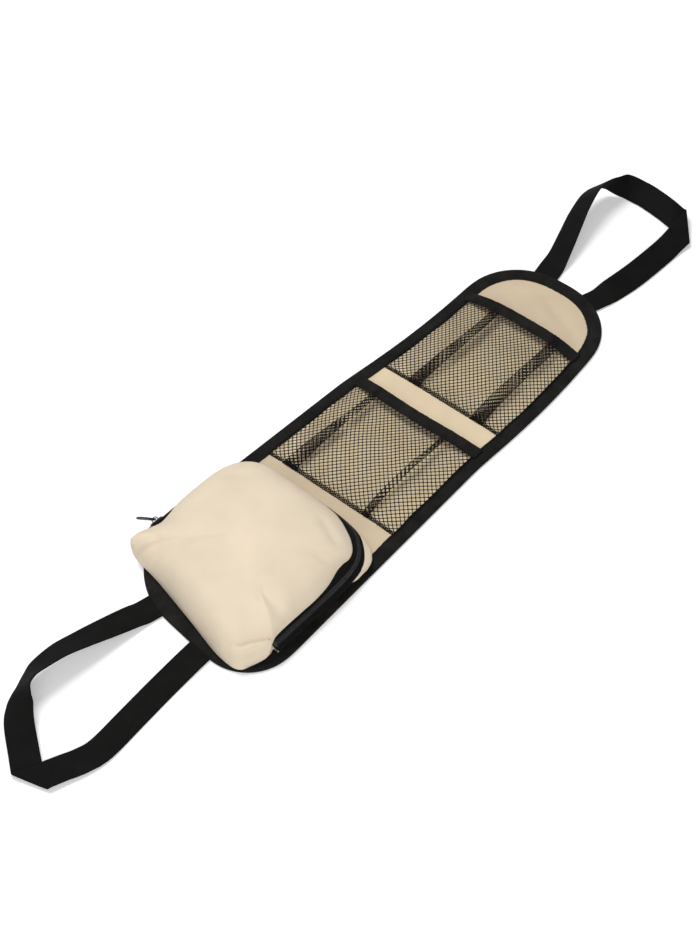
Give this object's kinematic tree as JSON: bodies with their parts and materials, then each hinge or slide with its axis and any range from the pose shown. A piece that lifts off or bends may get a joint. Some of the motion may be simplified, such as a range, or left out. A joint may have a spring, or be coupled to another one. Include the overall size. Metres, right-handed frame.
{
  "type": "car seat side organizer",
  "caption": "Long flat cloth organizer with black edging, two mesh pockets, a zipped pocket that stands up, and a webbing loop at each end.",
  "frame": {"origin": "middle of the panel's length and width, on the flat back that lies against the seat", "axes": "+X towards the round head end, +Y towards the side where the zip closes, +Z out of the front"},
  "size_m": [0.8985, 0.1855, 0.0471],
  "materials": {
    "cloth": "plain woven polyester cloth, beige",
    "edge_tape": "ribbed binding tape, black",
    "mesh": "knitted diamond mesh, black",
    "zip_tape": "woven zip tape, black",
    "zip_teeth": "moulded nylon teeth, black",
    "zip_metal": "die cast metal, black lacquer",
    "webbing": "flat woven webbing, black"
  },
  "bodies": {
    "organizer": {"back_panel": "cloth", "edge_binding": "edge_tape", "upper_mesh_pocket": "mesh", "lower_mesh_pocket": "mesh", "upper_mouth_binding": "edge_tape", "lower_mouth_binding": "edge_tape", "pocket_gusset": "cloth", "pocket_face": "cloth", "zipper_tape_back": "zip_tape", "zipper_tape_front": "zip_tape", "zipper_teeth_back": "zip_teeth", "zipper_teeth_front": "zip_teeth", "zipper_bottom_stop": "zip_metal", "zipper_top_stop": "zip_metal", "head_webbing_loop": "webbing", "foot_webbing_loop": "webbing"},
    "zip_slider": {"zipper_slider": "zip_metal"},
    "zip_pull": {"zipper_pull": "zip_metal"}
  },
  "joints": [
    {"name": "slider_travel", "type": "slide", "parent": "organizer", "child": "zip_slider", "axis": [1, 0, 0], "range_m": [0, 0.065]},
    {"name": "pull_swing", "type": "hinge", "parent": "zip_slider", "child": "zip_pull", "pos_m": [-0.21009, 0.08459, 0.02164], "axis": [0, -0.5667, 0.8239], "range_deg": [-132, 36]}
  ]
}
